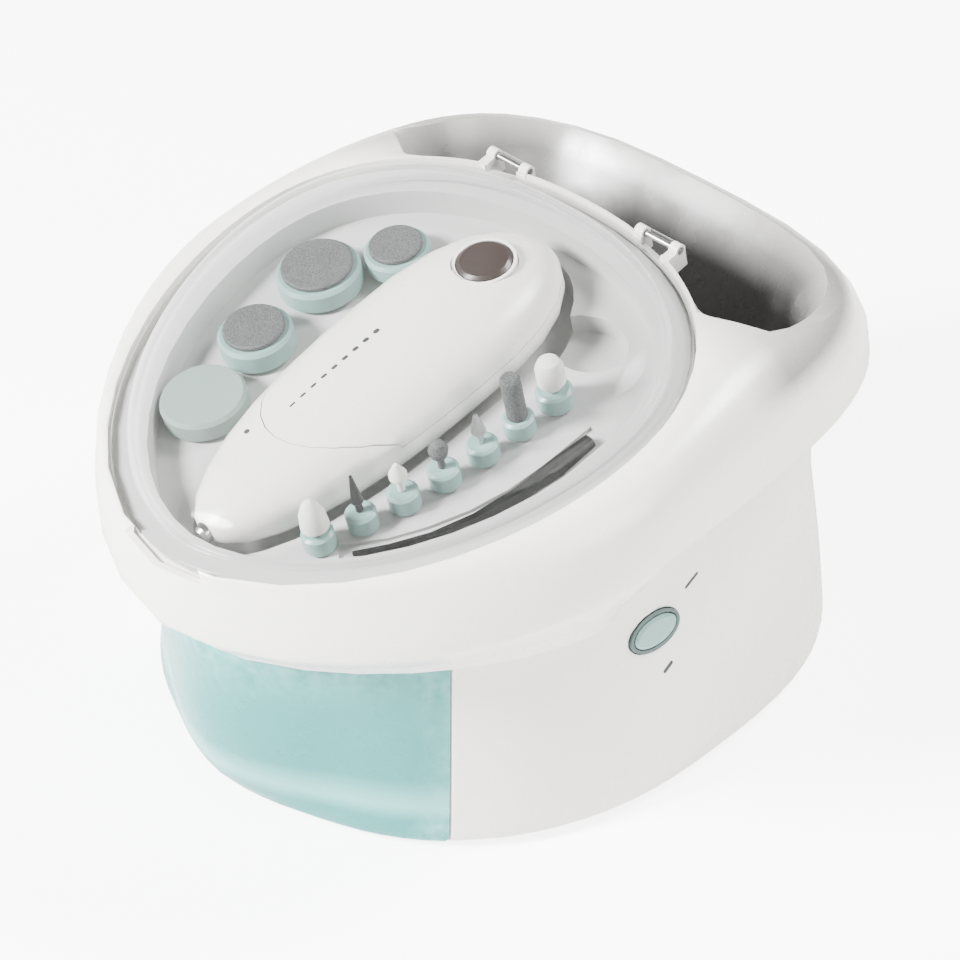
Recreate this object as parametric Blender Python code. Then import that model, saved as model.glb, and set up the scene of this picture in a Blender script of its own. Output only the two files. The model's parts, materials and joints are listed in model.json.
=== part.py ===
"""Manicure and pedicure care station with a slide-out soaking basin.

Frame: origin on the table under the middle of the plan, +Z up, the basin slides out along -Y,
the power button is on the +X flank. Lengths in this file are in millimetres; MM turns them into metres.

The casing is described by plan outlines, each a superellipse whose front and back halves differ.
Everything under the lid is laid out in the deck frame: its origin is the middle of the lid's rim, u runs
along +X, v runs back along the tilted deck and w stands square to it.
"""

import math

import bmesh
import bpy
from mathutils import Matrix, Vector

MM = 0.001
GAP = 0.35  # running gap between neighbouring pieces

# Casing
WALL = 2.5
BASE_Z = 2.5
FRONT_SEAM_Z = 71.0
REAR_SEAM_RISE = 18.0
SPIGOT = 4.0
STATION_DEGREES = [
    -90, -80, -70, -61, -52, -44, -36, -30, -25, -20, -15, -10, -5, 0, 5, 10, 16, 22, 28, 33, 37, 40, 43, 46, 49,
    53, 58, 64, 72, 81, 90,
]

# Deck, the tilted plane of the lid's rim. The lid is egg shaped, its narrower end towards the front
DECK_Y = -14.0
DECK_Z = 135.0
DECK_TILT = math.radians(13.0)
LID_HALF_WIDTH = 89.0
LID_FRONT = 110.5
LID_BACK = 74.5
LID_POWERS = (1.87, 2.24)
LID_HEIGHT = 19.5
LID_WALL = 2.0
LEDGE_DEPTH = 4.3
LEDGE_WIDTH = 8.0
RIM_GAP = 1.0
TRAY_FLOOR = -12.0
CRADLE_FLOOR = -24.0
HINGE_V = LID_BACK + 1.4
HINGE_W = 0.2
KNUCKLE = 33.2
KNUCKLE_R = 2.2

# Plan outlines: (centre y, half width, front reach, back reach, front power, back power)
BASE_OUTLINE = (12.5, 102.5, 111.5, 110.0, 2.19, 3.0)
DRUM_OUTLINE = (DECK_Y, 84.5, 97.0, 97.0, 1.6, 2.0)
WAIST_OUTLINE = (10.0, 85.0, 110.0, 100.0, 2.4, 4.5)
BELT_OUTLINE = (DECK_Y, 108.0, 112.0, 140.0, 1.72, 3.6)
RIM_OUTLINE = (
    DECK_Y,
    LID_HALF_WIDTH,
    LID_FRONT * math.cos(DECK_TILT),
    LID_BACK * math.cos(DECK_TILT),
    *LID_POWERS,
)
BELT_Z = 108.0
BELT_FALL = 21.0
BELT_RISE = 9.0

# Hand grip, the hollow between the lid and the rear rim
GRIP_FLOOR_Z = 98.0
GRIP_RIM = 8.0
GRIP_RIM_SWELL = 10.0
GRIP_START = math.radians(32.0)
GRIP_BLEND = math.radians(13.0)
GRIP_LAND = 1.6
SHARES = [0, 0.03, 0.07, 0.12, 0.18, 0.26, 0.34, 0.42, 0.5, 0.58, 0.66, 0.74, 0.82, 0.91, 0.975, 1]

# Basin
BASIN_SEAM_Y = -72.0
BASIN_SEAM_LEAN = 8.0
BASIN_TOP = 69.2
BASIN_FLOOR = 8.0
BASIN_HALF_WIDTH = 57.5
BASIN_BACK = 16.0
BASIN_WALL = 3.0

# Handpiece, in the deck frame
HAND_WIDEST = 5.0
HAND_FRONT = 100.0
HAND_BACK = 51.0
HAND_HALF_WIDTH = 28.5
HAND_RISE = 16.0
HAND_DROP = 15.0
HAND_AXIS = -6.0
HAND_BUTTON_V = 31.0
HAND_BUTTON_R = 9.2

# Power button, on the flank
BUTTON_ANGLE = math.radians(1.0)
BUTTON_Z = 58.0

# Loose tools: (u, v, radius, height) of each disc; (u, v, collar radius, tip profile) of each bit
DISC_PLACES = [(-42.8, -56.8, 14.3, 8.0), (-49.5, -27.5, 12.5, 9.0), (-54.0, 5.0, 14.3, 8.5), (-40.0, 27.5, 11.2, 7.5)]
BIT_PLACES = [
    (28.5, -74.0, 5.2, [(2.6, 0), (4.6, 2), (4.2, 7), (2.4, 11.5), (0.8, 12.8)]),
    (33.5, -60.5, 5.0, [(1.2, 0), (1.2, 3), (2.0, 4), (0.5, 15)]),
    (38.0, -47.0, 5.2, [(1.2, 0), (1.2, 4), (2.9, 5.5), (2.9, 7), (0.7, 11)]),
    (41.5, -33.0, 5.2, [(1.2, 0), (1.2, 4), (2.6, 5), (3.2, 7.5), (2.2, 10), (0.7, 11)]),
    (44.0, -18.5, 5.2, [(1.2, 0), (1.2, 3), (2.4, 4.5), (0.6, 12)]),
    (45.5, -4.0, 5.2, [(3.3, 0), (3.3, 15.5), (2.6, 16.5)]),
    (46.5, 11.0, 6.0, [(2.4, 0), (4.6, 3), (4.6, 9), (3.4, 11.5), (1.4, 12.6)]),
]
PUSHER_PATH = [(38, -70), (46, -62), (53, -51), (59, -38), (63, -24), (65, -9), (65.5, 6)]

COLOURS = {
    "white_shell": ((0.86, 0.86, 0.84), 0.3, 0.0),
    "tray_grey": ((0.74, 0.75, 0.74), 0.35, 0.0),
    "aqua_basin": ((0.42, 0.72, 0.70), 0.2, 0.0),
    "clear_lid": ((0.86, 0.88, 0.88), 0.05, 0.0),
    "aqua_trim": ((0.48, 0.66, 0.61), 0.35, 0.0),
    "smoke_button": ((0.10, 0.06, 0.05), 0.2, 0.0),
    "abrasive": ((0.40, 0.39, 0.38), 0.9, 0.0),
    "felt": ((0.88, 0.87, 0.84), 0.9, 0.0),
    "steel": ((0.55, 0.55, 0.55), 0.3, 1.0),
    "dark_steel": ((0.12, 0.12, 0.12), 0.35, 1.0),
    "black_rubber": ((0.05, 0.05, 0.05), 0.8, 0.0),
    "dark_trim": ((0.10, 0.16, 0.15), 0.4, 0.0),
    "circuit": ((0.05, 0.22, 0.12), 0.5, 0.0),
    "battery_green": ((0.10, 0.35, 0.18), 0.4, 0.0),
    "brass": ((0.70, 0.52, 0.22), 0.3, 1.0),
}


# ---------------------------------------------------------------- helpers

def clear_scene():
    for old in list(bpy.data.objects):
        bpy.data.objects.remove(old)


def material(slot):
    found = bpy.data.materials.get(slot)
    if found:
        return found
    colour, roughness, metallic = COLOURS[slot]
    made = bpy.data.materials.new(slot)
    made.use_nodes = True
    shader = made.node_tree.nodes["Principled BSDF"]
    shader.inputs["Base Color"].default_value = (*colour, 1.0)
    shader.inputs["Roughness"].default_value = roughness
    shader.inputs["Metallic"].default_value = metallic
    return made


def smooth(t):
    """0 below 0, 1 above 1, and an even S between."""
    t = min(max(t, 0.0), 1.0)
    return t * t * (3 - 2 * t)


def reach(outline, angle):
    """Distance in plan from the Z axis to a superellipse outline, in the direction of an angle from +X."""
    centre, half_width, front, back, front_power, back_power = outline
    low, high = 0.0, 400.0
    for _ in range(40):
        middle = (low + high) / 2
        x = abs(middle * math.cos(angle)) / half_width
        y = middle * math.sin(angle) - centre
        if y < 0:
            inside = x**front_power + (-y / front) ** front_power < 1
        else:
            inside = x**back_power + (y / back) ** back_power < 1
        low, high = (middle, high) if inside else (low, middle)
    return low


def deck_matrix():
    return Matrix.Translation(Vector((0, DECK_Y, DECK_Z)) * MM) @ Matrix.Rotation(DECK_TILT, 4, "X")


def finish(name, bm, slot, frame=None, smooth_angle=35):
    """Makes a bmesh whose points are in millimetres an object of that name, placed by frame."""
    bmesh.ops.scale(bm, vec=(MM, MM, MM), verts=bm.verts)
    bmesh.ops.recalc_face_normals(bm, faces=bm.faces)
    mesh = bpy.data.meshes.new(name)
    bm.to_mesh(mesh)
    bm.free()
    mesh.shade_smooth()
    mesh.set_sharp_from_angle(angle=math.radians(smooth_angle))
    mesh.materials.append(material(slot))
    made = bpy.data.objects.new(name, mesh)
    bpy.context.scene.collection.objects.link(made)
    if frame is not None:
        made.matrix_world = frame
    return made


def loft(loops, around=False):
    """A closed mesh through loops of points: capped at both ends, or joined end to start when around is set."""
    bm = bmesh.new()
    rows = [[bm.verts.new(p) for p in loop] for loop in loops]
    count = len(rows[0])
    pairs = list(zip(rows, rows[1:]))
    if around:
        pairs.append((rows[-1], rows[0]))
    for a, b in pairs:
        for i in range(count):
            j = (i + 1) % count
            bm.faces.new((a[i], a[j], b[j], b[i]))
    if not around:
        bm.faces.new(rows[0])
        bm.faces.new(rows[-1])
    return bm


def circle(radius, z, count=24, centre=(0.0, 0.0)):
    turns = [2 * math.pi * i / count for i in range(count)]
    return [(centre[0] + radius * math.cos(t), centre[1] + radius * math.sin(t), z) for t in turns]


def turned(profile, count=24, centre=(0.0, 0.0)):
    """A solid of revolution about Z from (radius, z) pairs, low to high."""
    return loft([circle(r, z, count, centre) for r, z in profile])


def tube(profile_outer, profile_inner, count=24):
    """A ring about Z: up the outer profile and back down the inner one."""
    both = list(profile_outer) + list(reversed(profile_inner))
    return loft([circle(r, z, count) for r, z in both], around=True)


def box_mesh(low, high):
    bm = bmesh.new()
    bmesh.ops.create_cube(bm, size=1.0)
    size = [h - l for l, h in zip(low, high)]
    middle = [(h + l) / 2 for l, h in zip(low, high)]
    bmesh.ops.scale(bm, vec=size, verts=bm.verts)
    bmesh.ops.translate(bm, vec=middle, verts=bm.verts)
    return bm


def prism(loop, low, high):
    """Straight walls over a flat outline of (x, y) points."""
    return loft([[(x, y, low) for x, y in loop], [(x, y, high) for x, y in loop]])


def oval(half_x, half_y, count=32, centre=(0.0, 0.0), power=2.0):
    points = []
    for i in range(count):
        turn = 2 * math.pi * i / count
        c, s = math.cos(turn), math.sin(turn)
        x = half_x * math.copysign(abs(c) ** (2 / power), c)
        y = half_y * math.copysign(abs(s) ** (2 / power), s)
        points.append((centre[0] + x, centre[1] + y))
    return points


def combine(target, other, operation):
    """Cuts, joins or intersects target with a helper object, then removes the helper."""
    modifier = target.modifiers.new(operation.lower(), "BOOLEAN")
    modifier.operation = operation
    modifier.object = other
    modifier.solver = "EXACT"
    bpy.context.view_layer.update()
    graph = bpy.context.evaluated_depsgraph_get()
    mesh = bpy.data.meshes.new_from_object(target.evaluated_get(graph), depsgraph=graph)
    target.modifiers.clear()
    target.data = mesh
    bpy.data.objects.remove(other)


def cut(target, bm, frame=None):
    combine(target, finish("cutter", bm, "dark_trim", frame), "DIFFERENCE")


def join(target, bm, frame=None):
    combine(target, finish("addition", bm, "dark_trim", frame), "UNION")


# ---------------------------------------------------------------- casing surfaces

def rim_height(y):
    return DECK_Z + (y - DECK_Y) * math.tan(DECK_TILT)


def seam_height(angle):
    up = math.degrees(math.asin(math.sin(angle)))
    return FRONT_SEAM_Z + REAR_SEAM_RISE * smooth((up + 14.0) / 20.0)


def basin_seam(z):
    """The y of the parting plane between basin and casing, which leans back towards the top."""
    return BASIN_SEAM_Y + BASIN_SEAM_LEAN * z / FRONT_SEAM_Z


def flank_share(angle, z):
    """0 on the upright front drum and 1 on the flared flank behind it."""
    up = math.degrees(math.asin(math.sin(angle)))
    edge = -22.0 + 11.0 * min(max(z / 30.0, 0.0), 1.0)
    return smooth((up - edge + 1.0) / 7.0)


def body_reach(angle, z):
    """The lower casing's outer surface."""
    foot = reach(BASE_OUTLINE, angle)
    top = reach(DRUM_OUTLINE, angle)
    climb = min(max((z - BASE_Z) / (FRONT_SEAM_Z - BASE_Z), 0.0), 1.0)
    rise = min(max((z - BASE_Z) / 34.0, 0.0), 1.0)
    bulge = math.sqrt(1 - (1 - rise) ** 2) if top > foot else climb
    drum = foot + (top - foot) * bulge
    waist = reach(WAIST_OUTLINE, angle)
    flank = waist + (foot - waist) * (1 - climb**1.5) ** 1.15
    share = flank_share(angle, z)
    lift = min(max((z - BASE_Z) / 4.0, 0.0), 1.0)
    hem = 2.5 * (1 - math.sqrt(1 - (1 - lift) ** 2))
    return drum + (flank - drum) * share - hem


def grip_spacing(width, rim):
    """Where the points of the profile across the grip lie, close together at its two edges."""
    room = width - rim
    start = [d * min(1.0, room / 18.0) for d in (0, 1.0, 2.6, 4.4, 6.6)]
    wall = [room - (room - start[-1]) * share for share in (0.75, 0.5, 0.36, 0.22, 0.08)]
    crest = [width - rim * share for share in (0.85, 0.62, 0.42, 0.24, 0.09, 0)]
    return start + wall + crest


def belt_height(angle):
    r = reach(BELT_OUTLINE, angle)
    x, y = r * math.cos(angle), r * math.sin(angle) - DECK_Y
    return BELT_Z + (BELT_RISE if y > 0 else BELT_FALL) * y / math.hypot(x, y)


def collar_profile(angle):
    """The upper casing's outer surface at one angle, as (reach, z) from the lid's lip to the seam."""
    lip = reach(RIM_OUTLINE, angle) + RIM_GAP
    belt = reach(BELT_OUTLINE, angle)
    width = belt - lip
    lip_z = rim_height(lip * math.sin(angle)) + 0.6
    belt_z, seam_z = belt_height(angle), seam_height(angle)
    up = math.asin(abs(math.sin(angle))) if math.sin(angle) > 0 else 0.0
    hollow = smooth((up - GRIP_START) / GRIP_BLEND)
    rim = min(GRIP_RIM + GRIP_RIM_SWELL * (1 - smooth((up - GRIP_START) / math.radians(32))), 0.5 * width)
    spread = smooth((up - math.radians(26)) / math.radians(18))
    ready = grip_spacing(width, rim) if spread > 0 else SHARES
    profile = []
    for share, place in zip(SHARES, ready):
        d = width * share + (place - width * share) * spread
        z = belt_z + (lip_z - belt_z) * (1 - min(d / width, 1.0) ** 2.2) ** (1 / 2.2)
        deep = smooth((d - GRIP_LAND) / 5.0) * smooth((width - rim - d) / (0.5 * (width - rim)))
        z -= (z - GRIP_FLOOR_Z) * hollow * deep
        profile.append((lip + d, z))
    front_low = reach(DRUM_OUTLINE, angle) + 0.8
    rear_low = reach(WAIST_OUTLINE, angle)
    share = flank_share(angle, seam_z)
    for step in range(1, 7):
        t = step / 6
        front = front_low + (belt - front_low) * (1 - t**1.3)
        rear = belt + (rear_low - belt) * t**0.85
        profile.append((front + (rear - front) * share, belt_z + (seam_z - belt_z) * t))
    return profile


def inset_profile(profile, depth):
    """The profile moved inward along its own normals."""
    moved = []
    for i, (r, z) in enumerate(profile):
        before, after = profile[max(i - 1, 0)], profile[min(i + 1, len(profile) - 1)]
        along = Vector((after[0] - before[0], after[1] - before[1])).normalized()
        moved.append((r + along.y * depth, z - along.x * depth))
    return moved


def angles():
    right = [math.radians(d) for d in STATION_DEGREES]
    return right + [math.pi - t for t in reversed(right[1:-1])]


def at(angle, r, z):
    return (r * math.cos(angle), r * math.sin(angle), z)


# ---------------------------------------------------------------- casing pieces

def make_upper_housing():
    columns = []
    for angle in angles():
        seat = reach(RIM_OUTLINE, angle)
        rim = rim_height(seat * math.sin(angle))
        ledge = rim - LEDGE_DEPTH
        outer = collar_profile(angle)
        under = ledge - WALL
        inner = [(r, min(z, under)) for r, z in inset_profile(outer, WALL)[2::2]]
        inner[-1] = (inner[-1][0], outer[-1][1])
        edge = rim_height((seat - LEDGE_WIDTH) * math.sin(angle)) - LEDGE_DEPTH
        loop = [(seat - LEDGE_WIDTH, edge), (seat + RIM_GAP, ledge)] + outer
        loop += list(reversed(inner)) + [(seat - LEDGE_WIDTH, edge - WALL)]
        columns.append([at(angle, r, z) for r, z in loop])
    housing = finish("upper_housing", loft(columns, around=True), "white_shell")
    for side in (-1, 1):
        place = side * KNUCKLE
        notch = box_mesh((place - 5.4, lid_edge(place) - 2.0, -2.4), (place + 5.4, HINGE_V + 3.6, 8.0))
        cut(housing, notch, deck_matrix())
        for lug in (-1, 1):
            combine(housing, make_lug(place + lug * 7.4), "UNION")
    finger = prism(oval(20.5, 9, 24, (0, -LID_FRONT - 4.5)), -2.7, 6.0)
    cut(housing, finger, deck_matrix())
    return housing


def make_lug(middle):
    """One bored ear that carries an end of a hinge pin."""
    block = box_mesh((middle - 1.7, lid_edge(middle) + 0.9, -7.0), (middle + 1.7, HINGE_V + 2.0, HINGE_W + 0.3))
    lug = finish("lug", block, "white_shell", deck_matrix())
    join(lug, turned([(KNUCKLE_R, middle - 1.69), (KNUCKLE_R, middle + 1.69)], 16), deck_matrix() @ hinge_frame())
    cut(lug, turned([(1.35, middle - 3), (1.35, middle + 3)], 12), deck_matrix() @ hinge_frame())
    return lug


def lid_edge(u):
    """The v of the lid's back edge at one u."""
    return LID_BACK * (1 - (abs(u) / LID_HALF_WIDTH) ** LID_POWERS[1]) ** (1 / LID_POWERS[1])


def hinge_frame():
    """The lid hinge's own frame in the deck frame: its Z runs along the pin."""
    return Matrix.Translation(Vector((0, HINGE_V, HINGE_W)) * MM) @ Matrix.Rotation(math.pi / 2, 4, "Y")


def make_lower_housing():
    low_heights = [BASE_Z, 4.0, 7.0, 14.0, 24.0, 36.0, 48.0]
    columns = []
    for angle in angles():
        seam = seam_height(angle) - GAP
        heights = low_heights + [48.0 + (seam - 48.0) * share for share in (0.4, 0.74)]
        outer = [(body_reach(angle, z), z) for z in heights + [seam]]
        step = outer[-1][0] - WALL - 0.7
        inner = [(body_reach(angle, z) - WALL, z) for z in reversed(heights)]
        spigot = [(step, seam), (step, seam + SPIGOT), (step - 2, seam + SPIGOT), (step - 2, seam - 3)]
        columns.append([at(angle, r, z) for r, z in outer + spigot + inner])
    housing = finish("lower_housing", loft(columns, around=True), "white_shell")
    for x, y in screw_places():
        join(housing, turned([(4.5, 6.3), (4.5, 24.0)], 16, (x, y)))
        join(housing, screw_rib(x, y))
        cut(housing, turned([(1.7, 5.0), (1.7, 20.5)], 12, (x, y)))
    cut(housing, prism(oval(11.4, 6.7, 24), -8, 8), button_frame())
    cut(housing, turned([(5.4, -12), (5.4, 12)], 20), socket_frame())
    cut(housing, mouth(-5, FRONT_SEAM_Z - 1.4, -150.0, 0.0))
    return housing


def screw_rib(x, y):
    """The rib that ties a screw boss to the nearest wall."""
    if y < 0:
        end = x + math.copysign(15.6, x)
        return box_mesh((min(x, end), y - 1.2, 6.3), (max(x, end), y + 1.2, 15.0))
    return box_mesh((x - 1.2, y, 6.3), (x + 1.2, y + 12.6, 15.0))


def mouth(low, high, front, shift):
    """A block from front back to the basin's parting plane moved back by shift."""
    loops = []
    for x in (-130, 130):
        loops.append([(x, front, low), (x, basin_seam(low) + shift, low), (x, basin_seam(high) + shift, high),
                      (x, front, high)])
    return loft(loops)


def screw_places():
    return [(79.0, -24.0), (-79.0, -24.0), (76.0, 88.0), (-76.0, 88.0)]


def surface_frame(angle, z):
    """A frame on the flank: its origin on the surface, its Z out along the normal and its X level."""
    step = math.radians(1.0)
    here = Vector(at(angle, body_reach(angle, z), z))
    level = Vector(at(angle + step, body_reach(angle + step, z), z)) - here
    upright = Vector(at(angle, body_reach(angle, z + 1), z + 1)) - here
    out = level.cross(upright).normalized()
    level.normalize()
    rows = Matrix((level, out.cross(level), out)).transposed().to_4x4()
    return Matrix.Translation(here * MM) @ rows


def button_frame():
    return surface_frame(BUTTON_ANGLE, BUTTON_Z)


def socket_frame():
    back = body_reach(math.pi / 2, 24.0)
    return Matrix.Translation(Vector((0, back, 24.0)) * MM) @ Matrix.Rotation(-math.pi / 2, 4, "X")


def make_base_plate():
    loops = []
    for z in (3.3, 5.8):
        loop = []
        for angle in angles():
            front = smooth((-35.0 - body_reach(angle, 5) * math.sin(angle)) / 25.0)
            r = body_reach(angle, 4.0) - WALL - 1.6 - 7.0 * front
            loop.append(at(angle, r, z))
        loops.append(loop)
    plate = finish("base_plate", loft(loops), "white_shell")
    for x, y in board_posts():
        join(plate, turned([(3.0, 5.0), (3.0, 14.0)], 12, (x, y)))
    for x, y in screw_places():
        cut(plate, turned([(2.0, 0), (2.0, 12)], 12, (x, y)))
    return plate


def board_posts():
    return [(x, y) for x in (-32, 32) for y in (72, 96)]


def make_feet_and_screws():
    corners = [("front_right", 62, -52), ("front_left", -62, -52), ("rear_right", 62, 84), ("rear_left", -62, 84)]
    for name, x, y in corners:
        profile = [(8.6, 0.0), (8.9, 0.6), (8.0, 3.0)]
        finish("rubber_foot_" + name, turned(profile, 24, (x, y)), "black_rubber")
    for number, (x, y) in enumerate(screw_places(), 1):
        profile = [(2.6, 1.4), (3.1, 1.8), (3.1, 3.0), (1.35, 3.05), (1.35, 18.0), (0.5, 19.5)]
        finish(f"base_screw_{number}", turned(profile, 12, (x, y)), "steel")


def make_bulkhead():
    plate = finish("splash_bulkhead", box_mesh((-70, 20, 6.15), (70, 22.2, 70)), "tray_grey")
    join(plate, box_mesh((-70, 21, 6.15), (70, 30, 8.0)))


def basin_loop(z, inset, back=BASIN_BACK):
    """The basin's outline at one height: the round front, then the straight part inside the casing."""
    front_count = 22
    side = BASIN_HALF_WIDTH - inset
    seam_y = basin_seam(z) - 0.7
    right = []
    low, high = math.radians(-90), math.radians(-20)
    for _ in range(40):
        middle = (low + high) / 2
        r = body_reach(middle, z) - inset
        beyond = r * math.sin(middle) > seam_y or (inset > 0 and r * math.cos(middle) > side)
        low, high = (low, middle) if beyond else (middle, high)
    for i in range(front_count // 2 + 1):
        angle = math.radians(-90) + (low + math.radians(90)) * i / (front_count // 2)
        r = body_reach(angle, z) - inset
        right.append((r * math.cos(angle), r * math.sin(angle), z))
    right.append((side, seam_y if inset == 0 else right[-1][1] + 6, z))
    right.append((side, -30.0, z))
    corner = 22.0 - inset
    rear = back - inset
    for i in range(5):
        turn = math.pi / 2 * i / 4
        right.append((side - corner + corner * math.cos(turn), rear - corner + corner * math.sin(turn), z))
    left = [(-x, y, level) for x, y, level in reversed(right[1:])]
    return right + left


def make_basin():
    outer = [basin_loop(z, 0) for z in (3.2, 5.0, 9.0, 16.0, 26.0, 38.0, 56.0, BASIN_TOP)]
    inner_heights = (BASIN_TOP, 56.0, 38.0, 26.0, 18.0, BASIN_FLOOR + BASIN_WALL)
    inner = [basin_loop(z, BASIN_WALL) for z in inner_heights[:-1]]
    inner.append(basin_loop(inner_heights[-1], BASIN_WALL + 4))
    basin = finish("soaking_basin", loft(outer + inner), "aqua_basin")
    skirt = [basin_loop(z, BASIN_WALL) for z in (-2.0, 3.0, BASIN_FLOOR)]
    cut(basin, loft(skirt))
    cut(basin, box_mesh((-90, basin_seam(5.0) - 0.7, -5), (90, 60, 6.15)))
    return basin


# ---------------------------------------------------------------- deck pieces

def deck_egg(inset, w, count=44):
    """The lid's plan drawn in by inset, at height w over the deck."""
    points = []
    for i in range(count):
        turn = 2 * math.pi * i / count
        c, s = math.cos(turn), math.sin(turn)
        power = LID_POWERS[1] if s > 0 else LID_POWERS[0]
        length = (LID_BACK if s > 0 else LID_FRONT) - inset
        u = (LID_HALF_WIDTH - inset) * math.copysign(abs(c) ** (2 / power), c)
        points.append((u, length * math.copysign(abs(s) ** (2 / power), s), w))
    return points


def skin(rows_of, links, caps):
    """A mesh through rings of points, joined by the links and closed by the capped rings."""
    bm = bmesh.new()
    rows = [[bm.verts.new(p) for p in ring] for ring in rows_of]
    count = len(rows[0])
    for a, b in links:
        for i in range(count):
            j = (i + 1) % count
            bm.faces.new((rows[a][i], rows[a][j], rows[b][j], rows[b][i]))
    for cap in caps:
        bm.faces.new(rows[cap])
    return bm


def make_lid():
    """The dome as one closed skin: up the outside, then down the inside to the flange's underside."""
    outside = [(0.0, -2.0), (0.0, -0.5), (0.7, 0.2), (5.2, 1.0), (6.4, 2.4), (8.2, 6.0), (12.5, 10.6)]
    outside += [(20.0, 14.2), (31.0, 16.9), (44.0, 18.6), (60.0, LID_HEIGHT)]
    inside = [(60.0, LID_HEIGHT - LID_WALL), (44.0, 16.6), (31.5, 14.9), (21.0, 12.2), (14.2, 9.0), (10.2, 5.2)]
    inside += [(8.4, 1.6), (7.2, 0.0), (7.2, -2.0)]
    rings = [deck_egg(inset, w) for inset, w in outside + inside]
    top, last = len(outside) - 1, len(rings) - 1
    links = [(k, k + 1) for k in range(last) if k != top] + [(last, 0)]
    lid = finish("lid", skin(rings, links, (top, top + 1)), "clear_lid", deck_matrix())
    for side in (-1, 1):
        place = side * KNUCKLE
        join(lid, box_mesh((place - 5.0, lid_edge(place) - 5.0, -1.9), (place + 5.0, HINGE_V, 0.8)), deck_matrix())
        join(lid, turned([(KNUCKLE_R, place - 5.0), (KNUCKLE_R, place + 5.0)], 16), deck_matrix() @ hinge_frame())
        cut(lid, turned([(1.35, place - 9.8), (1.35, place + 9.8)], 12), deck_matrix() @ hinge_frame())
    for side, name in ((-1, "left"), (1, "right")):
        pin = [(1.0, side * KNUCKLE - 9.3), (1.0, side * KNUCKLE + 9.3)]
        finish("lid_hinge_pin_" + name, turned(pin, 12), "steel", deck_matrix() @ hinge_frame())
    return lid


def groove(path, half_width):
    """The outline of a path of points widened to both sides, with its ends drawn out."""
    right, left = [], []
    for i, (x, y) in enumerate(path):
        before, after = path[max(i - 1, 0)], path[min(i + 1, len(path) - 1)]
        along = Vector((after[0] - before[0], after[1] - before[1])).normalized()
        end = (-1 if i == 0 else 1 if i == len(path) - 1 else 0) * half_width
        right.append((x + along.y * half_width + along.x * end, y - along.x * half_width + along.y * end))
        left.append((x - along.y * half_width + along.x * end, y + along.x * half_width + along.y * end))
    return right + list(reversed(left))


def make_tray():
    """A dish hung on the ledge by its flange, with a deep cradle for the handpiece and a recess for the fingers."""
    outside = [(1.0, -2.5), (1.0, -3.9), (10.0, -3.9), (10.3, TRAY_FLOOR - 2)]
    inside = [(11.9, TRAY_FLOOR), (11.5, -2.5)]
    rings = [deck_egg(inset, w) for inset, w in outside + inside]
    links = ((0, 1), (1, 2), (2, 3), (4, 5), (5, 0))
    tray = finish("tool_tray", skin(rings, links, (3, 4)), "tray_grey", deck_matrix())
    join(tray, prism(hand_outline(4.4), CRADLE_FLOOR - 2, TRAY_FLOOR - 1), deck_matrix())
    join(tray, prism(oval(17, 13.5, 24, (36, 36)), TRAY_FLOOR - 9, TRAY_FLOOR - 1), deck_matrix())
    cut(tray, prism(hand_outline(2.2), CRADLE_FLOOR, 5), deck_matrix())
    cut(tray, prism(oval(15, 11.5, 24, (36, 36)), TRAY_FLOOR - 7, 5), deck_matrix())
    cut(tray, prism(groove(PUSHER_PATH, 4.2), TRAY_FLOOR - 1.2, 0), deck_matrix())
    for u, v, radius, _ in BIT_PLACES:
        cut(tray, turned([(1.5, TRAY_FLOOR - 1.4), (1.5, 0)], 8, (u, v)), deck_matrix())
    return tray


def hand_outline(grow, count=36):
    """The handpiece's plan, grown by a margin."""
    points = []
    for i in range(count):
        turn = 2 * math.pi * i / count
        c, s = math.cos(turn), math.sin(turn)
        length = (HAND_BACK if s > 0 else HAND_FRONT) + grow
        v = HAND_WIDEST + length * math.copysign(abs(s) ** (2 / 2.4), s)
        points.append(((HAND_HALF_WIDTH + grow) * c, v))
    return points


def hand_section(v, grow=0.0, count=24):
    """The handpiece's cross-section at v: wide, lower below the parting line than above it."""
    x = (v - HAND_WIDEST) / (HAND_FRONT if v < HAND_WIDEST else HAND_BACK)
    swell = math.sqrt(max(1 - abs(x) ** 2.4, 0.0))
    points = []
    for i in range(count):
        turn = 2 * math.pi * i / count
        c, s = math.cos(turn), math.sin(turn)
        u = (HAND_HALF_WIDTH * swell + grow) * math.copysign(abs(c) ** 0.9, c)
        height = (HAND_RISE if s > 0 else HAND_DROP) * swell**0.8 + grow
        points.append((u, v, HAND_AXIS + height * math.copysign(abs(s) ** 0.9, s)))
    return points


def hand_body(grow=0.0):
    ends = (HAND_WIDEST - HAND_FRONT - grow + 0.4, HAND_WIDEST + HAND_BACK + grow - 0.4)
    count = 14
    places = []
    for i in range(count + 1):
        turn = math.pi * i / count
        places.append((ends[0] + ends[1]) / 2 - (ends[1] - ends[0]) / 2 * math.cos(turn))
    return loft([hand_section(v, grow) for v in places])


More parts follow.
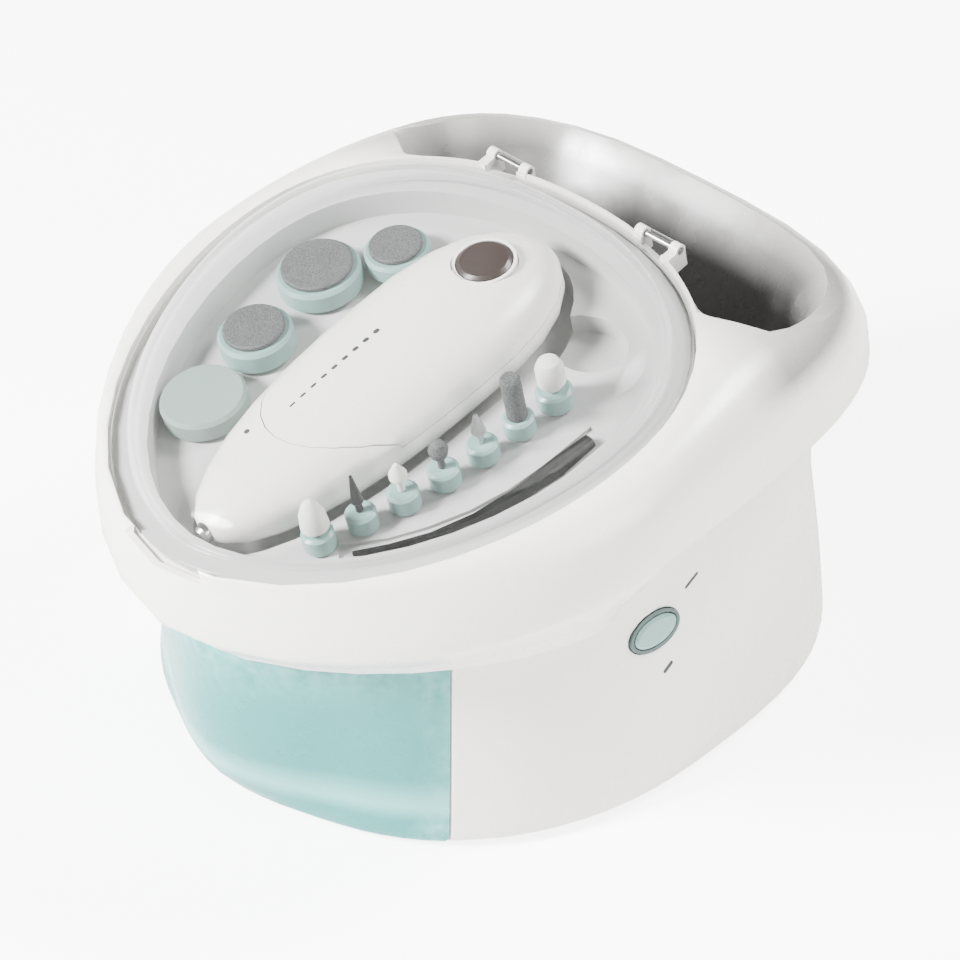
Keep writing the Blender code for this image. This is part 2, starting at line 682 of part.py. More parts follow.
def make_handpiece():
    deck = deck_matrix()
    cover = oval(33, 66, 36, (0, 5))
    cover_gap = oval(33 + GAP, 66 + GAP, 36, (0, 5))
    lower = finish("handpiece_lower_shell", hand_body(), "white_shell", deck)
    cut(lower, hand_body(-2.0), deck)
    cut(lower, prism(cover_gap, HAND_AXIS + 2.0, 30), deck)
    bore = Matrix.Translation(Vector((0, 0, HAND_AXIS)) * MM) @ Matrix.Rotation(math.pi / 2, 4, "X")
    cut(lower, turned([(3.6, 70), (3.6, 110)], 16), deck @ bore)
    upper = finish("handpiece_upper_shell", hand_body(), "white_shell", deck)
    cut(upper, hand_body(-2.0), deck)
    combine(upper, finish("cover", prism(cover, HAND_AXIS + 2.0 + GAP, 30), "white_shell", deck), "INTERSECT")
    button_top = Matrix.Translation(Vector((0, HAND_BUTTON_V, HAND_AXIS)) * MM)
    cut(upper, turned([(HAND_BUTTON_R + 1.7, 5), (HAND_BUTTON_R + 1.7, 30)], 24), deck @ button_top)
    top = HAND_RISE * 0.88
    ring = tube([(HAND_BUTTON_R + 1.4, top - 4), (HAND_BUTTON_R + 1.4, top + 0.2)],
                [(HAND_BUTTON_R + 0.35, top - 4), (HAND_BUTTON_R + 0.35, top + 0.2)])
    finish("handpiece_button_ring", ring, "white_shell", deck @ button_top)
    cap = turned([(HAND_BUTTON_R, top - 3.0), (HAND_BUTTON_R, top + 0.4), (HAND_BUTTON_R - 1.2, top + 1.2)])
    finish("handpiece_button", cap, "smoke_button", deck @ button_top)
    board = box_mesh((-8, 18, HAND_AXIS + 7.6), (8, 40, HAND_AXIS + 8.8))
    finish("handpiece_circuit_board", board, "circuit", deck)
    motor = turned([(9.5, 18), (10, 18.6), (10, 48), (9.5, 48.6)])
    finish("handpiece_motor", motor, "steel", deck @ bore)
    spindle = turned([(1.2, 48.95), (1.2, 66), (3.1, 66.5), (3.1, 92), (3.1, 95.6), (2.2, 96.8)], 16)
    finish("handpiece_spindle", spindle, "steel", deck @ bore)
    battery = turned([(3.0, -40), (7.0, -39.6), (7.0, 9.4), (2.6, 9.6), (2.6, 11)], 20)
    finish("handpiece_battery", battery, "battery_green", deck @ bore)


def make_discs():
    names = ["polishing_disc", "coarse_disc", "callus_disc", "fine_disc"]
    floor = TRAY_FLOOR + 0.3
    for name, (u, v, radius, height) in zip(names, DISC_PLACES):
        top = floor + height
        shape = [(radius - 1.5, floor), (radius, floor + 1.5), (radius, top - 1.2), (radius - 1.0, top)]
        finish(name, turned(shape, 28, (u, v)), "aqua_trim", deck_matrix())
        if name != "polishing_disc":
            pad = [(radius - 2.2, top + 0.35), (radius - 2.2, top + 1.5), (radius - 2.8, top + 1.9)]
            finish(name + "_pad", turned(pad, 24, (u, v)), "abrasive", deck_matrix())


def make_bits():
    finishes = ["felt", "dark_steel", "felt", "abrasive", "steel", "abrasive", "felt"]
    names = ["felt_cone", "needle", "flame", "ball", "fine_cone", "cylinder", "buffing_cone"]
    floor = TRAY_FLOOR + 0.3
    for name, slot, (u, v, radius, tip) in zip(names, finishes, BIT_PLACES):
        collar = [(radius - 0.8, floor), (radius, floor + 0.8), (radius, floor + 6.2), (radius - 1.0, floor + 7.0)]
        finish(name + "_bit_collar", turned(collar, 16, (u, v)), "aqua_trim", deck_matrix())
        foot = floor + 7.35
        finish(name + "_bit", turned([(r, foot + h) for r, h in tip], 16, (u, v)), slot, deck_matrix())


def make_cuticle_tool():
    """A slim curved steel pusher that lies in the groove beside the bits."""
    floor = TRAY_FLOOR - 0.85
    sizes = [(0.7, 1.0), (2.2, 1.2), (1.3, 1.8), (1.5, 2.4), (2.0, 3.2), (2.8, 3.8), (2.2, 2.6)]
    loops = []
    for i, ((u, v), (half, height)) in enumerate(zip(PUSHER_PATH, sizes)):
        before, after = PUSHER_PATH[max(i - 1, 0)], PUSHER_PATH[min(i + 1, len(PUSHER_PATH) - 1)]
        side = Vector((after[1] - before[1], before[0] - after[0])).normalized()
        corners = [(-half, floor), (half, floor), (half * 0.7, floor + height), (-half * 0.7, floor + height)]
        loops.append([(u + side.x * d, v + side.y * d, w) for d, w in corners])
    finish("cuticle_pusher", loft(loops), "dark_steel", deck_matrix())


# ---------------------------------------------------------------- controls and drive

def make_power_controls():
    frame = button_frame()
    cap_rows = [(9.3, 4.6, -5.0), (9.3, 4.6, 0.8), (8.3, 3.6, 1.5)]
    cap = loft([[(x, y, w) for x, y in oval(a, b, 28)] for a, b, w in cap_rows])
    finish("power_button", cap, "aqua_trim", frame)
    ring_rows = [(11.0, 6.3, -2.5), (11.0, 6.3, 0.7), (9.75, 5.05, 0.7), (9.75, 5.05, -2.5)]
    ring = loft([[(x, y, w) for x, y in oval(a, b, 28)] for a, b, w in ring_rows], around=True)
    finish("power_button_bezel", ring, "dark_trim", frame)
    switch = finish("power_switch", box_mesh((-3, -3, -11.5), (3, 3, -8.2)), "dark_trim", frame)
    join(switch, turned([(1.6, -9), (1.6, -6.8)], 12), frame)
    finish("switch_board", box_mesh((-13, -7, -13.4), (13, 7, -11.8)), "circuit", frame)


def make_drive():
    """The bath's vibration drive, its board and the inlet for the mains adapter."""
    axle = Matrix.Translation(Vector((0, 46, 26)) * MM) @ Matrix.Rotation(math.pi / 2, 4, "Y")
    finish("vibration_motor", turned([(11.2, -20), (12, -19.2), (12, 13.2), (11.2, 14), (3, 14.1), (3, 16)]), "steel", axle)
    clamp = finish("motor_clamp", box_mesh((-12, 30.5, 6.15), (8, 61.5, 26)), "tray_grey")
    cut(clamp, turned([(12.4, -30), (12.4, 30)]), axle)
    weight = finish("eccentric_weight", turned([(1.2, 16.4), (1.2, 27)], 12), "brass", axle)
    join(weight, prism([(x, y) for x, y in oval(9, 9, 24) if x > -1.6], 18, 25), axle)
    finish("control_board", box_mesh((-38, 66, 14.35), (38, 102, 15.95)), "circuit")
    socket = finish("adapter_socket", turned([(5.0, -14), (5.0, -0.4), (4.6, 0.2)], 20), "dark_trim", socket_frame())
    cut(socket, turned([(2.8, -10), (2.8, 3)], 16), socket_frame())
    join(socket, turned([(0.9, -10.5), (0.9, -1.5)], 10), socket_frame())
    for side in (-1, 1):
        pin = turned([(1.2, CRADLE_FLOOR + 0.3), (1.2, CRADLE_FLOOR + 0.9), (0.8, CRADLE_FLOOR + 1.3)], 10, (side * 6, 30))
        finish("charge_contact_" + ("right" if side > 0 else "left"), pin, "brass", deck_matrix())


def main():
    clear_scene()
    make_upper_housing()
    make_lower_housing()
    make_base_plate()
    make_feet_and_screws()
    make_bulkhead()
    make_basin()
    make_lid()
    make_tray()
    make_handpiece()
    make_discs()
    make_bits()
    make_cuticle_tool()
    make_power_controls()
    make_drive()


main()
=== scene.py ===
"""Looks for the nail care station: materials, a smooth clear lid, small marks, floor, lights and camera."""

import json
import math

import bmesh
import bpy
from mathutils import Matrix, Vector


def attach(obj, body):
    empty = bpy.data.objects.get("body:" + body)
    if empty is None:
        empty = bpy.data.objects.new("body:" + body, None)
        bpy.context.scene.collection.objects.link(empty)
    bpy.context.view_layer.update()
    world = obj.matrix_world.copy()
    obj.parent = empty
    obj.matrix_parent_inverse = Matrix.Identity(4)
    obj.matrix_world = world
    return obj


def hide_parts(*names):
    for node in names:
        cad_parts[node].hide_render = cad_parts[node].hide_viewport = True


# Lengths are in millimetres unless a name says metres; MM turns them into the frame's metres
MM = 0.001

# The deck is the tilted plane of the lid's rim: its own X runs right, Y back along the tilt and Z out of it
DECK_MIDDLE = Vector((0, -14, 135))
DECK_TILT = math.radians(13)
DECK = Matrix.Translation(DECK_MIDDLE * MM) @ Matrix.Rotation(DECK_TILT, 4, "X")

# The lid's egg-shaped plan: reaches from the deck's middle, and the superellipse power at front and back
LID_HALF_WIDTH, LID_FRONT, LID_BACK = 89.0, 110.5, 74.5
LID_POWERS = (1.87, 2.24)
# Its crown in plan, and the flange's section outside and inside as (distance in from the plan, height)
LID_CROWN = Vector((0, -18))
LID_FLANGE = [(0, -2), (0, -0.8), (0.15, -0.35), (0.5, 0), (1, 0.2), (3, 0.55), (5.2, 0.85), (5.9, 1.1)]
LID_FLANGE_INSIDE = [(7.2, -2.0), (7.2, -0.6), (7.5, -0.2), (8.0, 0.1)]
HINGE_V, HINGE_W = 75.9, 0.2
KNUCKLE = 33.2
KNUCKLE_RADIUS = 2.1
EAR_HALF_WIDTH = 4.9

# The grip hollow's painted shade, in metres: the housing's plan, and the heights and depths where the grey
# sets in
PLAN_HALF_WIDTH_METRES, PLAN_BACK_METRES, PLAN_CENTRE_METRES = 0.108, 0.140, -0.014
PLAN_POWER = 3.6
HOLLOW_SHADE_HEIGHTS_METRES = (0.129, 0.161)
HOLLOW_SHADE_START_METRES = (0.028, 0.05)

# The floor, just under the feet
FLOOR_HALF_SIDE_METRES = 6.0
FLOOR_GAP_METRES = 0.0002

# Printed marks
MARK_THICKNESS = 0.12
TICKS = 9
TICK_STEP = 4.6

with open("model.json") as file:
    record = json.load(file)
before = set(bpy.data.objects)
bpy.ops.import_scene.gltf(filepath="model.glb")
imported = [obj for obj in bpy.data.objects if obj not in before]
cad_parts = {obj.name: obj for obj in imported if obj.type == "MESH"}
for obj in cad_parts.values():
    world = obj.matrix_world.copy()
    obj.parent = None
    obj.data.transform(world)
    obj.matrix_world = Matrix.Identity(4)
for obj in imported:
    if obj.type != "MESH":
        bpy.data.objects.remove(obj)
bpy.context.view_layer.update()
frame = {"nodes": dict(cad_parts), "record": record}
nodes = frame["nodes"]


# ---------------------------------------------------------------- materials

class Recipe:
    """A material under construction: makes nodes and links them."""

    def __init__(self, material):
        self.material = material
        self.material.use_nodes = True
        self.tree = self.material.node_tree
        self.shader = self.tree.nodes["Principled BSDF"]
        coordinates = self.add("ShaderNodeTexCoord")
        self.place = coordinates.outputs["Object"]

    def add(self, kind, **settings):
        made = self.tree.nodes.new(kind)
        for key, value in settings.items():
            setattr(made, key, value)
        return made

    def link(self, a, b):
        self.tree.links.new(a, b)

    def stretched(self, scale):
        mapping = self.add("ShaderNodeMapping")
        mapping.inputs["Scale"].default_value = scale
        self.link(self.place, mapping.inputs["Vector"])
        return mapping.outputs["Vector"]

    def noise(self, scale, detail=3.0, rough=0.55, stretch=None):
        made = self.add("ShaderNodeTexNoise")
        made.inputs["Scale"].default_value = scale
        made.inputs["Detail"].default_value = detail
        made.inputs["Roughness"].default_value = rough
        self.link(self.stretched(stretch) if stretch else self.place, made.inputs["Vector"])
        return made.outputs["Fac"]

    def cells(self, scale):
        made = self.add("ShaderNodeTexVoronoi")
        made.inputs["Scale"].default_value = scale
        self.link(self.place, made.inputs["Vector"])
        return made.outputs["Distance"]

    def maths(self, operation, *values):
        """One math node over numbers or sockets."""
        made = self.add("ShaderNodeMath", operation=operation)
        for socket, value in zip(made.inputs, values):
            if isinstance(value, (int, float)):
                socket.default_value = value
            else:
                self.link(value, socket)
        return made.outputs["Value"]

    def spread(self, value, low, high, start=0.3, end=0.7):
        """The value from start to end turned into low to high, and held there beyond them."""
        made = self.add("ShaderNodeMapRange")
        made.inputs["From Min"].default_value = start
        made.inputs["From Max"].default_value = end
        made.inputs["To Min"].default_value = low
        made.inputs["To Max"].default_value = high
        self.link(value, made.inputs["Value"])
        return made.outputs["Result"]

    def worn_edges(self):
        """1 along outer edges, 0 elsewhere, broken up by noise."""
        geometry = self.add("ShaderNodeNewGeometry")
        edge = self.spread(geometry.outputs["Pointiness"], 0.0, 1.0, 0.53, 0.62)
        return self.maths("MULTIPLY", edge, self.spread(self.noise(260, 4), 0.0, 1.0))

    def axes(self, vector):
        made = self.add("ShaderNodeSeparateXYZ")
        self.link(vector, made.inputs["Vector"])
        return made.outputs

    def mix(self, share, first, second):
        """A colour mix; first and second are colours or sockets."""
        made = self.add("ShaderNodeMix", data_type="RGBA")
        self.link(share, made.inputs["Factor"])
        for socket, value in ((made.inputs[6], first), (made.inputs[7], second)):
            if isinstance(value, tuple):
                socket.default_value = (*value, 1)
            else:
                self.link(value, socket)
        return made.outputs[2]

    def bump(self, height, strength, distance, under=None):
        """A bumped normal, on top of another one when under is given."""
        made = self.add("ShaderNodeBump")
        made.inputs["Strength"].default_value = strength
        made.inputs["Distance"].default_value = distance
        self.link(height, made.inputs["Height"])
        if under is not None:
            self.link(under, made.inputs["Normal"])
        return made.outputs["Normal"]

    def finish(self, **sources):
        """Links sockets to the shader's inputs of these names."""
        for name, source in sources.items():
            self.link(source, self.shader.inputs[name.replace("_", " ")])

    def set(self, **values):
        """Sets even values on the shader."""
        for name, value in values.items():
            self.shader.inputs[name.replace("_", " ")].default_value = value


def shades(colour, factor):
    return tuple(min(c * factor, 0.95) for c in colour)


def moulded(name, colour, rough=0.3, grain=0.05, grain_scale=1500, worn=0.35, shade=0.95):
    """Injection-moulded plastic: faint flow marks, fine grain, edges rubbed smoother and paler."""
    r = Recipe(bpy.data.materials.new(name))
    flow = r.mix(r.spread(r.noise(22, 4), 0, 1), colour, shades(colour, shade))
    worn_share = r.spread(r.worn_edges(), 0.0, worn, 0.0, 1.0)
    smudge = r.spread(r.noise(60, 5, 0.65), rough - 0.05, rough + 0.09)
    fine = r.bump(r.noise(grain_scale, 2), grain, 0.00006)
    r.finish(
        Base_Color=r.mix(worn_share, flow, shades(colour, 1.06)),
        Roughness=r.maths("MULTIPLY_ADD", worn_share, -0.25, smudge),
        Normal=r.bump(r.noise(35, 2), 0.06, 0.0006, fine),
    )
    return r.material


def abrasive(name, colour, sparkle):
    """Bonded grit: packed grains with glints between them."""
    r = Recipe(bpy.data.materials.new(name))
    grains = r.cells(2600)
    r.finish(
        Base_Color=r.mix(r.spread(grains, 0, 1, 0.1, 0.6), sparkle, colour),
        Roughness=r.spread(r.noise(900, 3), 0.55, 0.85),
        Normal=r.bump(grains, 0.6, 0.0002),
    )
    return r.material


def felted(name, colour):
    """Pressed wool felt: matted fibres with a soft sheen."""
    r = Recipe(bpy.data.materials.new(name))
    fibres = r.noise(2200, 6, 0.7, (1, 1, 2.5))
    r.finish(
        Base_Color=r.mix(r.spread(fibres, 0, 1), shades(colour, 0.82), colour),
        Roughness=r.spread(r.noise(500), 0.8, 0.95),
        Normal=r.bump(fibres, 0.4, 0.0003),
    )
    r.set(Sheen_Weight=0.25)
    return r.material


def metal(name, colour, rough, lines=(1, 1, 40)):
    """Turned or drawn metal, with its tool marks closest together along the largest of lines."""
    r = Recipe(bpy.data.materials.new(name))
    turned = r.noise(420, 4, 0.6, lines)
    r.finish(
        Base_Color=r.mix(r.spread(turned, 0, 1), shades(colour, 0.75), colour),
        Roughness=r.spread(r.noise(90, 5), rough - 0.07, rough + 0.12),
        Normal=r.bump(turned, 0.12, 0.0001),
    )
    r.set(Metallic=1.0)
    return r.material


def board(name, colour, copper):
    """A circuit board: solder mask with faint tracks."""
    r = Recipe(bpy.data.materials.new(name))
    tracks = r.spread(r.noise(340, 1, 0.5, (1, 3, 1)), 0, 1, 0.52, 0.55)
    r.finish(
        Base_Color=r.mix(tracks, colour, copper),
        Roughness=r.spread(r.noise(150), 0.35, 0.55),
        Normal=r.bump(tracks, 0.3, 0.0001),
    )
    return r.material


def clear(name):
    """Polished clear plastic with a faint cloudy haze: paler and more opaque where it is seen edge-on, a
    painted reflection, with fine scratches from handling.
    """
    r = Recipe(bpy.data.materials.new(name))
    haze = r.noise(30, 5, 0.6)
    tilt = r.add("ShaderNodeLayerWeight")
    tilt.inputs["Blend"].default_value = 0.35
    edge_reflection = r.spread(tilt.outputs["Facing"], 0.0, 0.6, 0.3, 0.9)
    cloud = r.mix(r.spread(haze, 0, 1), (0.10, 0.105, 0.10), (0.17, 0.175, 0.17))
    r.finish(
        # Painted reflection: paler colour and higher alpha towards edge-on views
        Base_Color=r.mix(r.spread(edge_reflection, 0, 1, 0, 0.25), cloud, (0.72, 0.74, 0.73)),
        Roughness=r.spread(haze, 0.05, 0.14),
        Alpha=r.maths("ADD", edge_reflection, r.spread(r.noise(14, 3), 0.05, 0.08)),
        Normal=r.bump(r.noise(700, 2, 0.5, (1, 14, 1)), 0.03, 0.00003),
    )
    r.set(IOR=1.49, Specular_IOR_Level=1.0)
    return r.material


def plan_share(r, x, y):
    """Under 1 inside the housing's rounded-square plan, and growing outwards."""
    terms = []
    for socket, centre, size in (
        (x, 0.0, PLAN_HALF_WIDTH_METRES),
        (y, PLAN_CENTRE_METRES, PLAN_BACK_METRES),
    ):
        away = r.maths("ABSOLUTE", r.maths("SUBTRACT", socket, centre))
        terms.append(r.maths("POWER", r.maths("DIVIDE", away, size), PLAN_POWER))
    return r.maths("ADD", *terms)


def paint_hollow_shade(material):
    """Painted shade in the grip hollow: smoke grey that deepens from the rim to the floor."""
    r = Recipe(material)
    x, y, z = r.axes(r.place)
    upward = r.axes(r.add("ShaderNodeNewGeometry").outputs["True Normal"])["Z"]
    masks = [
        r.spread(upward, 0.0, 1.0, -0.12, -0.02),
        r.spread(plan_share(r, x, y), 1.0, 0.0, 0.76, 0.86),
        r.spread(z, 1.0, 0.0, *HOLLOW_SHADE_HEIGHTS_METRES),
        r.spread(y, 0.0, 1.0, *HOLLOW_SHADE_START_METRES),
    ]
    share = masks[0]
    for mask in masks[1:]:
        share = r.maths("MULTIPLY", share, mask)
    plain = r.shader.inputs["Base Color"].links[0].from_socket
    # Painted shade: the plain colour mixed towards dark grey where all four masks meet
    r.finish(Base_Color=r.mix(share, plain, (0.115, 0.112, 0.108)))
    return material


def frosted(name, colour, lighter):
    """Milky translucent plastic: satin skin, soft glow, paler edges and a painted highlight, a pale line at
    the bend below.
    """
    r = Recipe(bpy.data.materials.new(name))
    cloud = r.mix(r.spread(r.noise(18, 3), 0, 1), colour, shades(colour, 0.93))
    height = r.axes(r.place)["Z"]
    # Painted highlight: a pale band from 11 to 27 mm up, where light catches the bend below
    rising, falling = r.spread(height, 0.0, 1.0, 0.011, 0.017), r.spread(height, 0.6, 0.0, 0.017, 0.027)
    lit = r.mix(r.maths("MULTIPLY", rising, falling), cloud, lighter)
    r.finish(
        Base_Color=r.mix(r.spread(r.worn_edges(), 0, 0.7, 0, 1), lit, lighter),
        Roughness=r.spread(r.noise(70, 4), 0.2, 0.32),
        Normal=r.bump(r.noise(1100, 2), 0.06, 0.00006),
    )
    r.set(Subsurface_Weight=0.35, Subsurface_Radius=(0.004, 0.007, 0.007), Subsurface_Scale=1.0)
    return r.material


WHITE = (0.80, 0.78, 0.74)
LOOKS = {
    "white_shell": moulded("white_gloss", WHITE, 0.24, shade=0.985),
    "tray_grey": moulded("tray_satin", (0.46, 0.465, 0.455), 0.38, grain=0.12, grain_scale=1900),
    "aqua_basin": frosted("aqua_frosted", (0.027, 0.24, 0.228), (0.23, 0.60, 0.58)),
    "clear_lid": clear("clear_cover"),
    "aqua_trim": moulded("aqua_satin", (0.20, 0.34, 0.315), 0.36, grain=0.1),
    "smoke_button": moulded("smoke_polished", (0.022, 0.012, 0.010), 0.3, worn=0.2),
    "abrasive": abrasive("sapphire_grit", (0.04, 0.044, 0.043), (0.13, 0.14, 0.14)),
    "felt": felted("pressed_felt", (0.72, 0.71, 0.68)),
    "steel": metal("turned_steel", (0.55, 0.55, 0.55), 0.28),
    "dark_steel": metal("dark_steel", (0.05, 0.05, 0.05), 0.34, (30, 1, 1)),
    "black_rubber": moulded("foot_rubber", (0.03, 0.03, 0.03), 0.75, grain=0.5, grain_scale=900, worn=0.1),
    "dark_trim": moulded("dark_satin", (0.05, 0.085, 0.08), 0.4, grain=0.15),
    "circuit": board("solder_mask", (0.02, 0.12, 0.06), (0.05, 0.2, 0.1)),
    "battery_green": moulded("battery_sleeve", (0.05, 0.22, 0.09), 0.35),
    "brass": metal("turned_brass", (0.62, 0.44, 0.17), 0.3),
}
INK = moulded("grey_ink", (0.025, 0.027, 0.027), 0.55, worn=0.0)
OWN_LOOKS = {
    "polishing_disc": moulded("disc_pale", (0.20, 0.27, 0.25), 0.4, grain=0.12),
    # The upper housing's white plastic carries painted shade inside its grip hollow
    "upper_housing": paint_hollow_shade(moulded("white_gloss_hollow_shade", WHITE, 0.24, shade=0.985)),
}
SLOTS = {row["node"]: row["material_slot"] for row in frame["record"]["subparts"]}


def smoothing():
    """Geometry nodes that weld a faceted solid and round its shading, except at edges over 32 degrees."""
    group = bpy.data.node_groups.new("rounded_shading", "GeometryNodeTree")
    group.interface.new_socket("Geometry", in_out="INPUT", socket_type="NodeSocketGeometry")
    group.interface.new_socket("Geometry", in_out="OUTPUT", socket_type="NodeSocketGeometry")
    start, end = group.nodes.new("NodeGroupInput"), group.nodes.new("NodeGroupOutput")
    weld = group.nodes.new("GeometryNodeMergeByDistance")
    weld.inputs["Distance"].default_value = 0.00001
    forget = group.nodes.new("GeometryNodeRemoveAttribute")
    forget.inputs["Name"].default_value = "custom_normal"
    faces = group.nodes.new("GeometryNodeSetShadeSmooth")
    faces.domain = "FACE"
    edges = group.nodes.new("GeometryNodeSetShadeSmooth")
    edges.domain = "EDGE"
    edges.inputs["Shade Smooth"].default_value = False
    angle = group.nodes.new("GeometryNodeInputMeshEdgeAngle")
    sharp = group.nodes.new("FunctionNodeCompare")
    sharp.inputs[1].default_value = math.radians(32)
    group.links.new(angle.outputs["Unsigned Angle"], sharp.inputs[0])
    group.links.new(sharp.outputs["Result"], edges.inputs["Selection"])
    chain = [start, weld, forget, faces, edges, end]
    for a, b in zip(chain, chain[1:]):
        group.links.new(a.outputs[0], b.inputs[0])
    return group


SMOOTHING = smoothing()
for name, node in nodes.items():
    node.data.materials.clear()
    node.data.materials.append(OWN_LOOKS.get(name, LOOKS[SLOTS[name]]))
    node.modifiers.new("rounded_shading", "NODES").node_group = SMOOTHING
    node.modifiers.new("even_shading", "WEIGHTED_NORMAL").keep_sharp = True


# ---------------------------------------------------------------- pieces

def place(name, bm, look, body, matrix, angle=40):
    """Makes a bmesh in millimetres a piece of that name, placed by matrix, that rides on a body."""
    bmesh.ops.scale(bm, vec=(MM, MM, MM), verts=bm.verts)
    bmesh.ops.recalc_face_normals(bm, faces=bm.faces)
    mesh = bpy.data.meshes.new(name)
    bm.to_mesh(mesh)
    bm.free()
    mesh.transform(matrix)
    mesh.shade_smooth()
    mesh.set_sharp_from_angle(angle=math.radians(angle))
    mesh.materials.append(look)
    piece = bpy.data.objects.new(name, mesh)
    bpy.context.scene.collection.objects.link(piece)
    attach(piece, body)
    return piece


def bridge(bm, first, second):
    """Faces between two loops of as many vertices."""
    count = len(first)
    for i in range(count):
        j = (i + 1) % count
        bm.faces.new((first[i], first[j], second[j], second[i]))


def egg(inset, count=160):
    """The lid's plan drawn in by inset."""
    points = []
    for i in range(count):
        turn = 2 * math.pi * i / count
        c, s = math.cos(turn), math.sin(turn)
        power = LID_POWERS[1] if s > 0 else LID_POWERS[0]
        length = (LID_BACK if s > 0 else LID_FRONT) - inset
        u = (LID_HALF_WIDTH - inset) * math.copysign(abs(c) ** (2 / power), c)
        points.append(Vector((u, length * math.copysign(abs(s) ** (2 / power), s))))
    return points


def flange_rings(profile):
    return [[(*p, w) for p in egg(inset)] for inset, w in profile]


def dome_rings(inset, base, height, steps=30):
    """Rings from the foot of the dome to just short of its crown."""
    foot = egg(inset)
    rings = []
    for k in range(steps):
        share = math.cos(math.pi / 2 * k / steps)
        w = base + height * (1 - share**3) ** 0.42
        rings.append([(*(LID_CROWN + (p - LID_CROWN) * share), w) for p in foot])
    return rings


def add_skin(bm, rings, crown):
    """Faces through the rings up to a point at the crown's height; gives the lowest ring."""
    rows = [[bm.verts.new(p) for p in ring] for ring in rings]
    for a, b in zip(rows, rows[1:]):
        bridge(bm, a, b)
    top = bm.verts.new((*LID_CROWN, crown))
    last = rows[-1]
    for i in range(len(last)):
        bm.faces.new((last[i], last[(i + 1) % len(last)], top))
    return rows[0]


def make_cover():
    """The clear cover as one smooth closed skin."""
    bm = bmesh.new()
    outside = add_skin(bm, flange_rings(LID_FLANGE) + dome_rings(6.4, 1.6, 17.8), 19.4)
    inside = add_skin(bm, flange_rings(LID_FLANGE_INSIDE) + dome_rings(8.4, 0.3, 17.1), 17.4)
    bridge(bm, outside, inside)
    cover = place("clear_cover", bm, LOOKS["clear_lid"], "lid", DECK, 50)
    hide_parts("lid")


def make_ear(name, middle):
    """One of the cover's hinge ears: a tongue from the flange that rounds over the pin."""
    bm = bmesh.new()
    edge = LID_BACK * (1 - (KNUCKLE / LID_HALF_WIDTH) ** LID_POWERS[1]) ** (1 / LID_POWERS[1])
    profile = [(edge - 0.2, -1.8), (HINGE_V - 0.4, -1.8)]
    for k in range(9):
        turn = math.radians(-95 + 190 * k / 8)
        v = HINGE_V + KNUCKLE_RADIUS * math.cos(turn)
        profile.append((v, HINGE_W + KNUCKLE_RADIUS * math.sin(turn)))
    profile += [(HINGE_V - 1.6, 0.9), (edge - 0.2, 0.7)]
    sides = (middle - EAR_HALF_WIDTH, middle + EAR_HALF_WIDTH)
    ends = [[bm.verts.new((u, v, w)) for v, w in profile] for u in sides]
    bridge(bm, *ends)
    for end in ends:
        bm.faces.new(end)
    place(name, bm, LOOKS["clear_lid"], "lid", DECK)


def on_surface(node, start, direction):
    """Where a line meets a CAD node, and the surface's normal there."""
    hit, point, normal, _ = nodes[node].ray_cast(start, direction)
    if not hit:
        raise SystemExit(f"no surface of {node} under a mark")
    return point, normal


def stuck_frame(point, normal, along):
    """A frame on a surface: Z along the normal, X as near to along as the surface lets it."""
    x = (along - normal * along.dot(normal)).normalized()
    rows = Matrix((x, normal.cross(x), normal)).transposed().to_4x4()
    return Matrix.Translation(point) @ rows


def rounded_bar(length, width, thickness, turns=6):
    """A printed bar with round ends, lying on Z 0."""
    bm = bmesh.new()
    loop = []
    for side in (1, -1):
        for k in range(turns + 1):
            turn = math.pi * (k / turns - 0.5) + (0 if side > 0 else math.pi)
            x = side * (length - width) / 2 + width / 2 * math.cos(turn)
            loop.append((x, width / 2 * math.sin(turn)))
    rings = [(1.0, -0.05), (1.0, thickness * 0.6), (0.9, thickness)]
    rows = [[bm.verts.new((x * k, y * k, z)) for x, y in loop] for k, z in rings]
    for a, b in zip(rows, rows[1:]):
        bridge(bm, a, b)
    bm.faces.new(rows[0])
    bm.faces.new(rows[-1])
    return bm


def print_mark(name, bar, node, start, direction, along):
    """Puts a bar where a line from start meets a CAD node."""
    point, normal = on_surface(node, start, direction)
    place(name, bar, INK, "casing", stuck_frame(point, normal, along))


def make_handpiece_marks():
    """A speed scale of ever wider ticks along the cover, and the charge light in front of it."""
    down = DECK.to_3x3() @ Vector((0, 0, -1))
    along = DECK.to_3x3() @ Vector((0, 1, 0))
    for k in range(TICKS):
        start = DECK @ (Vector((-5.0, -49.0 + TICK_STEP * k, 14.0)) * MM)
        bar = rounded_bar(2.4, 0.7 + 0.12 * k, MARK_THICKNESS)
        print_mark(f"speed_tick_{k + 1}", bar, "handpiece_upper_shell", start, down, along)
    start = DECK @ (Vector((-10.5, -64.0, 14.0)) * MM)
    print_mark("charge_light", rounded_bar(1.9, 1.89, 0.25, 10), "handpiece_lower_shell", start, down, along)


def make_flank_marks():
    """A mark below the power button and one above it."""
    rows = (("flank_mark_low", 4.0, 44.0, 5.0, 1.4), ("flank_mark_high", 21.0, 66.0, 7.0, 1.2))
    for name, y, z, length, width in rows:
        bar = rounded_bar(length, width, MARK_THICKNESS)
        start = Vector((200, y, z)) * MM
        print_mark(name, bar, "lower_housing", start, Vector((-1, 0, 0)), Vector((0, 1, 0.45)))


make_cover()
make_ear("cover_ear_left", -KNUCKLE)
make_ear("cover_ear_right", KNUCKLE)
make_handpiece_marks()
make_flank_marks()


# ---------------------------------------------------------------- floor, lights and camera

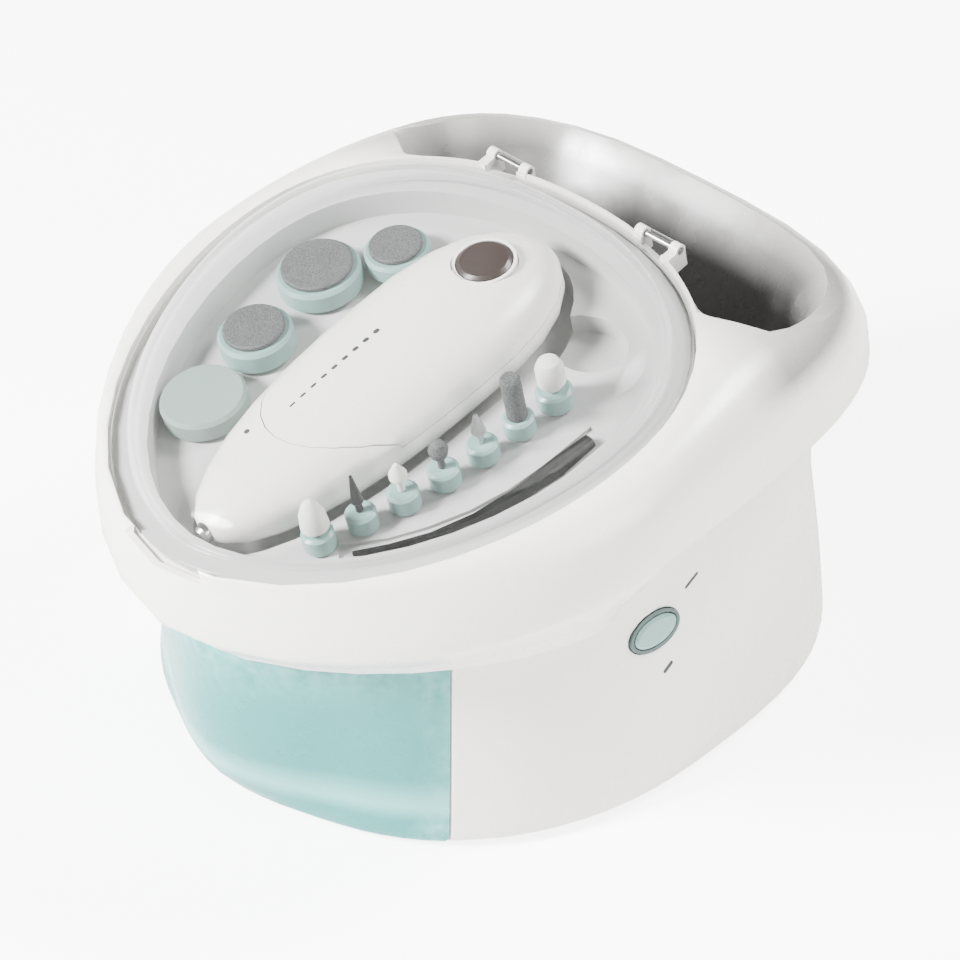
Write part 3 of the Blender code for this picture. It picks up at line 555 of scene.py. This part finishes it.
def floor_material():
    """Matt near-white paper that glows more for the camera than for the object on it."""
    r = Recipe(bpy.data.materials.new("pale_floor"))
    seen = r.add("ShaderNodeLightPath").outputs["Is Camera Ray"]
    r.finish(
        Base_Color=r.mix(r.spread(r.noise(3, 3), 0, 1), (0.93, 0.93, 0.93), (0.90, 0.90, 0.90)),
        Emission_Strength=r.spread(seen, 0.3, 5.0, 0.0, 1.0),
    )
    r.set(Roughness=0.85, Emission_Color=(1, 1, 1, 1))
    return r.material


def make_floor():
    bm = bmesh.new()
    bmesh.ops.create_grid(bm, x_segments=1, y_segments=1, size=FLOOR_HALF_SIDE_METRES)
    mesh = bpy.data.meshes.new("floor")
    bm.to_mesh(mesh)
    bm.free()
    mesh.materials.append(floor_material())
    floor = bpy.data.objects.new("floor", mesh)
    floor.location.z = -FLOOR_GAP_METRES
    bpy.context.scene.collection.objects.link(floor)


def area_light(name, where, size, power, target=(0, 0, 0.08)):
    """A round soft light; places and size in metres, power in watts."""
    light = bpy.data.lights.new(name, "AREA")
    light.shape = "DISK"
    light.size = size
    light.energy = power
    lamp = bpy.data.objects.new(name, light)
    lamp.location = where
    lamp.rotation_euler = (Vector(target) - Vector(where)).to_track_quat("-Z", "Y").to_euler()
    bpy.context.scene.collection.objects.link(lamp)


def make_world(strength):
    world = bpy.data.worlds.new("studio")
    world.use_nodes = True
    background = world.node_tree.nodes["Background"]
    background.inputs["Color"].default_value = (1, 1, 1, 1)
    background.inputs["Strength"].default_value = strength
    bpy.context.scene.world = world


def make_camera():
    """A camera over the front right corner."""
    azimuth, elevation, distance = math.radians(45), math.radians(38), 0.9
    target = Vector((0.02647, -0.014, 0.09258))
    back = Matrix.Rotation(azimuth, 3, "Z") @ Vector((0, -math.cos(elevation), math.sin(elevation)))
    data = bpy.data.cameras.new("camera")
    data.sensor_width, data.lens, data.clip_start = 36, 106.3, 0.01
    camera = bpy.data.objects.new("camera", data)
    camera.location = target + back * distance
    camera.rotation_euler = (-back).to_track_quat("-Z", "Y").to_euler()
    bpy.context.scene.collection.objects.link(camera)
    bpy.context.scene.camera = camera


make_floor()
make_world(0.25)
area_light("key", (-0.8, -1.6, 1.2), 0.6, 270)
area_light("fill", (1.6, 0.1, 0.9), 1.0, 30)
area_light("top", (0.5, 1.0, 1.5), 0.6, 60)
make_camera()
